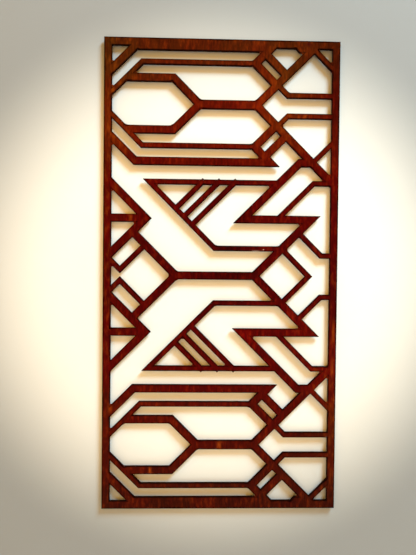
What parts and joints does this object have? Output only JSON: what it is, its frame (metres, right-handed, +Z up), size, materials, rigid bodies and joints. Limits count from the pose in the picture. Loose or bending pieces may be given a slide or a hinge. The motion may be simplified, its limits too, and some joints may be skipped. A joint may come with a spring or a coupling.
{
  "type": "mashrabiya screen",
  "caption": "Flat lattice panel, its level and slanting bars cut through one stained wood sheet inside a plain border, to hang upright on a wall",
  "frame": {"origin": "centre of the panel's back face, in the middle of the long bar on its mid line", "axes": "+Z up along the panel's long side, +X to the right of someone facing the panel, +Y out of its back towards the wall"},
  "size_m": [0.6, 0.006, 1.2],
  "materials": {
    "stained_wood": "satin reddish-brown stain, cut edges charred dark"
  },
  "bodies": {
    "root": {"lattice_panel": "stained_wood"}
  },
  "joints": []
}
